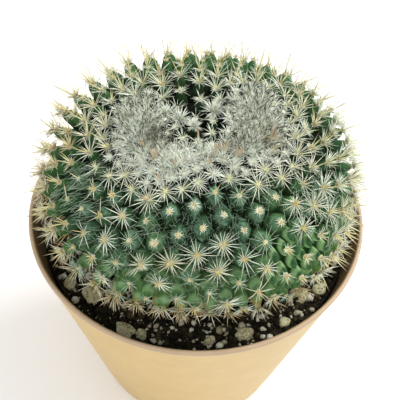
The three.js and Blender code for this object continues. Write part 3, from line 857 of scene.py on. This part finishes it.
waxy_skin = Finish("waxy_skin", 0.5, 0.12)
tone = waxy_skin.tone
spot = tone.place()
across, deep, tall = spot.parts()
up_tubercle, ridge, own, clear_of_crown_shade = tone.marks("up", "ridge", "tone", "clear_of_crown_shade")
pale, haze, shade, lit = tone.marks("pale", "hazy", "shade", "lit")
patches = spot.grain(260, 4)
fine = spot.grain(2600, 4, 0.6)
low = 1 - tall.between(56 * MM, 78 * MM)
face = low.mix((34, 74, 30), (60, 104, 28))
face = (own * 0.5 + patches * 0.3).mix(face, low.mix((66, 106, 56), (108, 142, 56)))
face = (haze * 0.14).mix(face, (98, 134, 84))
face = (shade * 0.85).mix(face, (28, 60, 37))
face = (lit * 0.4).mix(face, (52, 88, 66))
face = (pale * 0.75).mix(face, (28, 70, 36))
# The ridges are painted lighter: partly paler skin, partly painted highlight where light catches
# them.
edge = low.mix((84, 122, 92), (150, 184, 100))
pale_ridge_and_highlight = ridge * up_tubercle.between(0.25, 0.75) * (0.12 + 0.1 * pale)
colour = pale_ridge_and_highlight.mix(face, edge)
# Painted shade: the skin of the young tubercles under and round the crown's mat, and in the cleft
# and the gap at the back, is painted near-black.
colour = ((1 - clear_of_crown_shade) * 0.8).mix(colour, (12, 28, 12))
bloom = spot.grain(330, 4, 0.65).between(0.44, 0.62) * haze
colour = (bloom * (0.4 + 0.35 * shade)).mix(colour, (108, 142, 118))
# Painted shade in the grooves: the low part of each tubercle is painted dark, darkest round the
# crowns and lighter where haze lies over it. Where marked pale, low in front and in the
# close-packed patch, the grooves are painted pale green, as painted highlight on lit edges.
groove_shade_and_light = (1 - clear_of_crown_shade * 0.7).mix((12, 30, 12), (4, 10, 4))
groove_shade_and_light = (haze * (1 - 0.8 * shade)).mix(groove_shade_and_light, (34, 58, 22))
groove_shade_and_light = pale.mix(groove_shade_and_light, (118, 158, 94))
off_packed = (across - 22.7 * MM) * (across - 22.7 * MM) + (deep + 27 * MM) * (deep + 27 * MM)
off_packed = (off_packed + (tall - 73.3 * MM) * (tall - 73.3 * MM)) ** 0.5
groove_shade_and_light = (1 - off_packed.between(7 * MM, 10 * MM)).mix(groove_shade_and_light, (104, 146, 84))
# Painted highlight: a light band round the close-packed tubercles, fainter low in front.
rim = up_tubercle.between(0.4, 0.6) * (1 - up_tubercle.between(0.72, 0.88)) * pale
colour = (rim * 0.75).mix(colour, (164, 204, 142))
sunken = 1 - up_tubercle.between(0.05, 0.55 + 0.3 * haze - 0.15 * pale)
colour = sunken.mix(colour, groove_shade_and_light)
dusty = fine.between(0.4, 0.7) * (0.1 + 0.16 * haze) * (1 - 0.5 * shade)
colour = dusty.mix(colour, (128, 156, 112))
corky = spot.grain(520, 3).between(0.42, 0.58) * (1 - tall.between(58 * MM, 66 * MM))
corky = corky * up_tubercle.between(0.3, 0.8)
colour = (corky * 0.85).mix(colour, (204, 148, 70))
waxy_skin.give("Base Color", colour)
waxy_skin.give("Roughness", 0.9 - up_tubercle.between(0.2, 0.8) * 0.45 + fine * 0.15)
waxy_skin.give("Normal", tone.relief(fine + patches, 0.35, 0.15 * MM))
settled(stem, waxy_skin, "stem_skin", "stem")

# Areole felt
# A small pad of short wool sits on the tip of every tubercle, where the spines come out. On the
# youngest ones it is a white cushion that hides the skin.
BARE_AREOLES = [
    (1.6, -22.5, 16.4), (5.5, -23.8, 15.5), (-3.2, -25, 15), (0.6, -26.3, 14.2),
    (-8.2, -27.5, 12.6), (13.9, -23.1, 14.4), (9.9, -22.5, 15.6), (-5.2, -29.5, 11.8),
    (17.0, -20.4, 14.8), (-10.3, -25, 14.1), (17.2, -23, 13.2), (9.5, -25.9, 13.6),
]
bare = np.isin(every, nearest_to(BARE_AREOLES))

pad = turned("felt_pad", [(0.8, -0.5), (1.0, 0.0), (0.95, 0.4), (0.7, 0.78), (0.36, 0.97)], 9)
points = points_of(pad)
move_points(pad, points * (1 + 0.12 * cloud(points, 0.6, 5))[:, None])
cushion = (0.36 - 0.14 * soft_step(rooms, 2.3, 3.0)) * rooms
wide = np.where(woolly, cushion, 0.3 + 0.06 * rooms) * vary(0.85, 1.15, areoles)
plump = np.where(pompom, 1.1, 1) * np.where(bare, vary(0.65, 1.0, areoles), 1)
wide *= plump
high = np.where(woolly, 0.75, 0.4) * plump
shapes = columns(side * wide[:, None], np.cross(axes, side) * wide[:, None], axes * high[:, None])
places = areoles + axes * np.where(woolly, 0.1, -0.12)[:, None] + STEM_MIDDLE
warmth = soft_step(rooms, 3.0, 5.5) * 0.7 + vary(-0.3, 0.4, areoles)
warmth = np.clip(warmth * (1 - crown_gap) + 0.3 * left_edge + 0.5 * bare, 0, 1)
marks = {"warm": np.where(woolly, 0, warmth), "tone": vary(0, 1, areoles)}
felt = copies("areole_felt", [pad], np.zeros(len(areoles), int), places, shapes, marks)
put_away([pad])
smooth(felt)

wool = Finish("wool", 0.95, 0.1, Sheen_Weight=0.3)
tone = wool.tone
strands = tone.place().grain(5200, 4, 0.7)
(warm,) = tone.marks("warm")
colour = warm.mix((222, 226, 206), (208, 194, 136))
colour = ((1 - strands.between(0.3, 0.6)) * 0.5).mix(colour, (126, 124, 98))
wool.give("Base Color", colour)
wool.give("Normal", tone.relief(strands, 0.9, 0.2 * MM))
settled(felt, wool, "spines")

# Radial spines
# Each areole bears a flat star of fine stiff needles, white to cream and a little yellow where
# they come out of the felt. Some of the stars in front are old, worn thin and grey.
RADIAL_NEEDLE = (3, (-1, 2, 6), ((1, 0), (0.78, 0.5), (0.12, 1.0)))


def towards(ways, lean):
    """The part of each lean that is square to its way, one long."""
    return unit(lean - ways * (lean * ways).sum(1, keepdims=True))


def fan(chosen, counts, tilt, spread, bias=None):
    """Spine directions round the axis of each chosen areole: which areole, and which way."""
    owner = np.repeat(chosen, counts)
    order = np.concatenate([np.arange(count) for count in counts])
    many = np.repeat(counts, counts)
    start = np.repeat(vary(0, 2 * math.pi, counts), counts)
    about = start + (order + vary(-0.38, 0.38, order)) / many * 2 * math.pi
    lean = tilt[owner] + chance.normal(0, spread, len(owner))
    aside = swung(level[owner], upward[owner], about)
    ways = swung(axes[owner], aside, lean)
    if bias is not None:
        ways = unit(ways + bias[owner])
    return owner, ways, aside


def needle(sides, bend, rings):
    """A tapered needle one long and one thick at its foot, bent towards its own x."""
    model = turned("needle", rings, sides)
    points = points_of(model)
    points[:, 0] += bend * points[:, 2] ** 2
    move_points(model, points)
    return model


def spines(name, kind, owner, ways, aside, length, thick, warm, root=0.32, lean=None):
    """Joins a needle for every direction into one piece.

    kind is the needle's number of sides, the bends that it is modelled in, and its rings.
    """
    sides, bends, rings = kind
    needles = [needle(sides, bend, rings) for bend in bends]
    bent = towards(ways, -axes[owner] if lean is None else lean)
    thick, long = thick[:, None], length[:, None]
    shapes = columns(bent * thick, np.cross(ways, bent) * thick, ways * long)
    places = areoles[owner] + aside * root + axes[owner] * 0.12 + STEM_MIDDLE
    tips = places + ways * long
    clear = tips[:, 2] > soil_height(tips) + 0.5
    picks = chance.integers(0, len(bends), len(owner))
    marks = {
        "along": lambda local: np.clip(local[:, 2], 0, 1),
        "warm": warm[clear],
        "tone": vary(0, 1, owner)[clear],
    }
    piece = copies(name, needles, picks[clear], places[clear], shapes[clear], marks)
    put_away(needles)
    smooth(piece)
    return piece


chosen = np.flatnonzero(grown)
behind, far_side = soft_step(y, 5, 15), soft_step(y, 13, 20)
flank = (1 - front) * (1 - far_side) * (1 - hairy_side)
worn = (vary(0, 1, areoles) < 0.33) & (front + hairy_side > 0.5) & (rooms > 4.5)
worn &= ~bare & (lowest < 0.6) & (packed_side < 0.1)
many = (
    19 + 4 * crown_gap - 5 * far_side - 8 * lowest * (1 - 0.5 * front)
    - 7 * packed_side - 13 * hairy_side
)
many += (
    7 * (1 - soft_step(rooms, 3.2, 4.0)) + 16 * pompom + 8 * left_edge + 14 * slender_side
    + 3 * flank
)
counts = np.round(many[chosen] * vary(0.6, 1.25, chosen))
counts = np.maximum(5, counts).astype(int)
patchy = vary(0, 1, areoles) < 0.4
missing = swung(level, upward, vary(0, 2 * math.pi, areoles))
tilt = (
    62 + 13 * front - 22 * slender_side - 38 * lowest * front - 28 * packed_side
    - 14 * left_edge
)
tilt = np.radians(tilt * vary(0.88, 1.08, areoles))
spread = (0.2 + 0.35 * crown_gap)[np.repeat(chosen, counts)]
owner, ways, aside = fan(chosen, counts, tilt, spread)
size = 3.0 + 0.4 * front - 1.4 * packed_side + 0.5 * ring + 0.2 * lowest
size *= np.where(bare, 0.26, 1)
size -= 1.1 * crown_gap + 0.6 * hairy_side + 0.3 * behind + 0.6 * far_side - 0.3 * flank
size *= vary(0.7, 1.2, areoles)
length = size[owner] * vary(0.6, 1.2, owner)
length *= np.where(patchy[owner] & ((aside * missing[owner]).sum(1) > 0.4), 0.45, 1)
length *= np.where(worn[owner], 0.85, 1)
thick = 0.082 + 0.024 * front + 0.05 * lowest - 0.01 * crown_gap - 0.016 * behind
thick = (thick + 0.012 * (flank + slender_side))[owner] * vary(0.75, 1.2, owner)
thick *= np.where(worn[owner], 0.75, 1)
warm = 0.12 + 0.75 * lowest + 0.35 * left_edge - 0.5 * crown_gap - 0.15 * behind
warm = (warm + chance.normal(0, 0.15, len(areoles))) * (1 - 0.6 * ring)
warm = np.clip(warm[owner] + chance.normal(0, 0.08, len(owner)), 0, 1)
warm = np.where(worn[owner], -1, warm)
radials = spines("radial_spines", RADIAL_NEEDLE, owner, ways, aside, length, thick, warm)

spine_white = Finish("spine_white", 0.5, 0.4)
tone = spine_white.tone
along, warm, own = tone.marks("along", "warm", "tone")
colour = warm.mix((240, 247, 228), (236, 206, 146))
colour = ((1 - along.between(0.0, 0.3)) * (0.2 + 0.5 * warm)).mix(colour, (206, 190, 130))
colour = (along.between(0.8, 1.0) * warm).mix(colour, (190, 142, 92))
colour = (own * 0.3).mix(colour, (170, 174, 156))
colour = ((1 - warm.between(-0.7, -0.1)) * 0.7).mix(colour, (146, 176, 146))
spine_white.give("Base Color", colour)
settled(radials, spine_white, "spines")

# Central spines
# Four to six stouter needles stand up from the middle of most areoles: amber at the foot, cream
# to yellow along their length and brown at the tip. The longest are on the flanks and the back.
CENTRAL_NEEDLE = (4, (-1, 0.5, 2), ((1, 0), (0.95, 0.2), (0.8, 0.5), (0.5, 0.8), (0.1, 1.0)))

standing = np.clip(1 - front - 0.35 * ring - 0.9 * crown_gap + 0.1 * slender_side, 0, 1.2)
counts = np.where(bare[chosen], 2, 4 + chance.integers(0, 3, len(chosen)))
counts += (2 * slender_side[chosen]).astype(int)
counts = np.where(crown_gap[chosen] > 0.5, 2, counts)
counts = np.where(worn[chosen], 1, counts)
tilt = np.radians((38 - 18 * standing) * vary(0.7, 1.3, areoles))
owner, ways, aside = fan(chosen, counts, tilt, 0.2)
order = np.concatenate([np.arange(count) for count in counts])
tall_one = order < 1 + np.round(((2.0 + 0.6 * slender_side) * standing)[owner])
tall_one &= standing[owner] + 0.3 > vary(0, 1, owner)
long_ones, short_ones = 2.5 + 2.2 * standing + 1.1 * behind, 1.2 + 0.4 * front
length = np.where(tall_one, long_ones[owner], short_ones[owner])
length *= vary(0.7, 1.15, owner)
length *= np.where(bare[owner], 0.35, 1)
thick = 0.13 * (1 - 0.1 * behind - 0.1 * far_side - 0.2 * slender_side)[owner]
thick *= vary(0.75, 1.15, owner)
warm = (
    0.3 + 0.1 * behind - 0.1 * slender_side + 0.05 * standing + 0.5 * front * (1 - ring)
    - 0.25 * ring + 0.5 * lowest + 0.3 * left_edge
)
warm = np.clip(warm[owner] + chance.normal(0, 0.2, len(owner)), 0, 1)
centrals = spines("central_spines", CENTRAL_NEEDLE, owner, ways, aside, length, thick, warm, 0.12)

spine_yellow = Finish("spine_yellow", 0.45, 0.45)
tone = spine_yellow.tone
along, warm, own = tone.marks("along", "warm", "tone")
colour = warm.mix((234, 234, 190), (214, 194, 118))
colour = ((1 - along.between(0.0, 0.35)) * 0.6 * warm).mix(colour, (196, 172, 104))
colour = (along.between(0.5, 0.95) * (0.5 + 0.5 * own)).mix(colour, (122, 104, 80))
spine_yellow.give("Base Color", colour)
settled(centrals, spine_yellow, "spines")

# Axil hair
# Very fine white hair lies over the skin between the areoles: combed into bunches on the left,
# loose and curly on the right, and a thin fuzz in front and along the bare row.
HAIR = (3, (-3, 1, 4), ((1, 0), (0.9, 0.35), (0.7, 0.7), (0.2, 1.0)))
CURLY_PATCH = (28, -17, 11)

curly_side = zone(CURLY_PATCH, 8, 12)
fuzzy = front * (vary(0, 1, areoles) < 0.7) * (1 - lowest)
belted = zone(BARE_ROW, 9, 14) * (1 - packed_side)
hazy = np.maximum(np.maximum(hairy_side, 1.7 * curly_side), 0.7 * fuzzy) * (1 - packed_side)
hazy = np.maximum(hazy, belted)
bunched = np.where(vary(0, 1, areoles) < 0.5, 1.6, 0.2)
bunched = bunched * hairy_side + 1 - hairy_side
counts = (48 - 14 * hairy_side + 20 * belted) * hazy * bunched
counts = np.round((counts * vary(0.1, 1.3, areoles))[chosen]).astype(int)
owner = np.repeat(chosen, counts)
combed = towards(axes, np.tile((1.0, 0.1, 0.15), (len(areoles), 1)))[owner]
straight, curled = chance.normal(0, 0.22, len(owner)), vary(0, 6.3, owner)
about = np.where(hairy_side[owner] > 0.2, straight, curled)
flat = swung(combed, np.cross(axes[owner], combed), about)
ways = swung(flat, axes[owner], vary(-0.05, 0.25, owner))
own_room = rooms[owner][:, None]
start = chance.uniform(-0.55, 0.55, (2, len(owner), 1)) * own_room
aside = combed * start[0] + np.cross(axes[owner], combed) * start[1]
aside -= axes[owner] * (0.32 * (aside ** 2).sum(1, keepdims=True) / own_room) + flat
length = vary(1.2, 3.2, owner) + 2.4 * hairy_side[owner] - 0.8 * belted[owner]
thick = 0.046 + 0.008 * curly_side - 0.01 * hairy_side - 0.014 * np.maximum(fuzzy, belted)
thick = thick[owner] * vary(0.8, 1.3, owner)
wisps = spines(
    "axil_hair", HAIR, owner, ways, aside, length, thick, belted[owner], root=1.0,
    lean=chance.normal(size=(len(owner), 3)),
)

pale_hair = Finish("pale_hair", 0.6, 0.3)
tone = pale_hair.tone
warm, own = tone.marks("warm", "tone")
colour = own.mix((122, 152, 124), (196, 212, 190))
colour = (warm * 0.6).mix(colour, (84, 120, 96))
pale_hair.give("Base Color", colour)
settled(wisps, pale_hair, "spines")

# Crown bristles
# Over both growing points, and along the line that joins them, the areoles stand so close that
# their white bristles meet in one dense mat, with a few tan needles in it. Short needles with dark
# tips stand in it too: partly young spines, partly painted shade between the bristles.
BRISTLE = (3, (-2, 1, 5), ((1, 0), (0.85, 0.5), (0.15, 1.0)))
DARK_TIPPED_NEEDLE = (3, (-1, 1, 2.5), ((1, 0), (1, 0.6), (0.3, 1.0)))
TAN_NEEDLE = (5, (0.6,), ((1, 0), (1.0, 0.3), (0.85, 0.7), (0.4, 0.93), (0.1, 1.0)))
LEFT_SWIRL = (-8.4, -8.6, 19.8)
RIGHT_SWIRL = (7.1, -8.6, 20)
TAN_PLACES = [
    (-12, -11, 19), (-10, -13, 19), (0, -8, 20), (3, -11, 20), (1, -13, 20), (15, -6, 19),
    (14, -9, 19), (-10, -20, 17), (-5, -14, 19), (8, -13, 19), (-7, -17, 18), (5, -12, 19),
]

chosen = np.flatnonzero(woolly | pompom)
off_line = areoles[:, None] - young_line[None]
away = off_line[every, np.linalg.norm(off_line, axis=2).argmin(1)]
away /= np.maximum(np.linalg.norm(away, axis=1, keepdims=True), 2.5)
outer = soft_step(rooms, 2.3, 3.0) * np.where(pompom, 0.3, 1)
swirl = np.maximum(zone(LEFT_SWIRL, 2.0, 4.5), zone(RIGHT_SWIRL, 1.2, 2.6))
apart = soft_step(np.abs(x - 0.5), 4, 9)
counts = 43 + chance.integers(0, 10, len(chosen)) + 12 * (1 - apart[chosen])
counts = counts - 20 * outer[chosen] + 40 * pompom[chosen] - 18 * swirl[chosen]
counts = counts.astype(int)
push = 0.32 * away * (apart * (1 - 0.7 * outer) * ~pompom)[:, None]
spread = (0.25 + 0.15 * outer + 0.3 * pompom)[np.repeat(chosen, counts)]
owner, ways, aside = fan(chosen, counts, np.radians(38 + 24 * outer), spread, push)
length = vary(1.9, 3.2, owner) - 0.8 * outer[owner] + 0.1 * pompom[owner]
length *= vary(0.76, 1.18, areoles)[owner]
banded = soft_step(-y, 10, 13) * (1 - outer)
thick = (0.064 + 0.025 * outer + 0.03 * pompom + 0.015 * banded)[owner]
thick *= vary(0.75, 1.25, owner)
warm = (vary(0, 1, areoles) * (1 - swirl) + 1.6 * swirl)[owner]
bristles = spines("crown_bristles", BRISTLE, owner, ways, aside, length, thick, warm, 0.2)

bristle_white = Finish("bristle_white", 0.4, 0.5, Sheen_Weight=0.8, Sheen_Roughness=0.3)
tone = bristle_white.tone
along, warm, own = tone.marks("along", "warm", "tone")
across, deep, tall = tone.place().parts()
fronted = (deep * -1).between(6 * MM, 15 * MM)
colour = (own ** 2 * (0.38 - 0.34 * fronted)).mix((247, 255, 240), (164, 180, 148))
colour = ((1 - along.between(0.1, 0.4)) * 0.3).mix(colour, (232, 234, 204))
off = ((across - 15 * MM) * (across - 15 * MM) + (deep + 6.5 * MM) * (deep + 6.5 * MM)) ** 0.5
colour = ((1 - off.between(1 * MM, 5 * MM)) * 0.45).mix(colour, (226, 210, 172))
colour = (warm.between(0.5, 1.0) * (0.4 - 0.34 * fronted)).mix(colour, (144, 152, 126))
colour = (warm.between(1.0, 1.6) * 0.5).mix(colour, (104, 100, 76))
tan = own.between(0.1, 0.2) * (1 - own.between(0.2, 0.3)) * 0.5
colour = tan.mix(colour, (206, 176, 140))
bristle_white.give("Base Color", colour)
settled(bristles, bristle_white, "spines", "crown_spines")

# Needles with dark tips: partly young central spines, partly painted shade, as their dark tips
# stand for the shade between the bristles.
fronted_row = soft_step(-y, 9, 14)
fewer = np.round(4 * fronted_row[chosen] + 3 * outer[chosen]).astype(int)
counts = chance.integers(6, 11, len(chosen)) - fewer
counts = np.maximum(counts + np.round(5 * swirl[chosen]).astype(int), 0)
owner, ways, aside = fan(chosen, counts, np.radians(40 + 10 * outer), 0.35, push)
length = vary(3.0, 4.3, owner) - 1.6 * outer[owner]
thick = 0.12 * vary(0.7, 1.25, owner) * (1 - 0.4 * fronted_row[owner])
warm = np.zeros(len(owner))
young_and_shade_strokes = spines("young_centrals_and_shade", DARK_TIPPED_NEEDLE, owner, ways, aside, length, thick, warm, 0.1)

spine_dark = Finish("spine_dark", 1.0, 0.0)
tone = spine_dark.tone
along, own = tone.marks("along", "tone")
# Painted shade in part: the dark tips stand for shade between the bristles, as well as the young
# spines' own dark colour.
darkened = along.between(0.5, 0.64) * (1 - own * 0.25)
spine_dark.give("Base Color", darkened.mix((214, 218, 198), (30, 34, 18)))
settled(young_and_shade_strokes, spine_dark, "spines")

chosen = nearest_to(TAN_PLACES)
counts = 1 + np.arange(len(chosen)) % 2
owner, ways, aside = fan(chosen, counts, np.full(len(areoles), 0.12), 0.06)
length = vary(3.8, 4.8, owner)
thick = 0.23 * vary(0.8, 1.2, owner)
warm = np.zeros(len(owner))
tans = spines("tan_centrals", TAN_NEEDLE, owner, ways, aside, length, thick, warm, 0.15)

spine_tan = Finish("spine_tan", 0.5, 0.4)
tone = spine_tan.tone
along, own = tone.marks("along", "tone")
colour = along.between(0.1, 0.7).mix((224, 216, 186), (192, 164, 126))
colour = (along.between(0.75, 1.0) * (0.2 + own * 0.4)).mix(colour, (134, 104, 78))
spine_tan.give("Base Color", colour)
settled(tans, spine_tan, "spines")

# Studio
# A plain white table stands in a tent of soft light, with a brighter soft light at the right and
# behind, and a weaker one in front at the left.
TENT_LIGHT = 0.8
LAMPS = (
    ("window", (0.42, 0.22, 0.55), (0, 0, 0.07), 0.35, 4.5, (1, 0.99, 0.97)),
    ("front_fill", (-0.3, -0.5, 0.5), (0, 0, 0.06), 0.5, 1.5, (1, 1, 1)),
)

table_top = added("table_top", bpy.ops.mesh.primitive_plane_add, size=6)
white_card = Finish("white_card", 0.9, 0.1)
clouds = white_card.tone.place().grain(3, 2)
white_card.give("Base Color", clouds.mix((250, 250, 250), (246, 246, 246)))
table_top.data.materials.append(white_card.material)

scene = bpy.context.scene
scene.world = bpy.data.worlds.new("light_tent")
scene.world.use_nodes = True
background = scene.world.node_tree.nodes["Background"]
background.inputs["Color"].default_value = (1, 1, 1, 1)
background.inputs["Strength"].default_value = TENT_LIGHT
scene.view_settings.view_transform = "Standard"
for name, place, aim, size, power, colour in LAMPS:
    lamp = bpy.data.lights.new(name, "AREA")
    lamp.shape, lamp.size, lamp.energy, lamp.color = "DISK", size, power, colour
    holder = bpy.data.objects.new(name, lamp)
    bpy.context.collection.objects.link(holder)
    holder.location = place
    holder.rotation_euler = (Vector(aim) - Vector(place)).to_track_quat("-Z", "Y").to_euler()
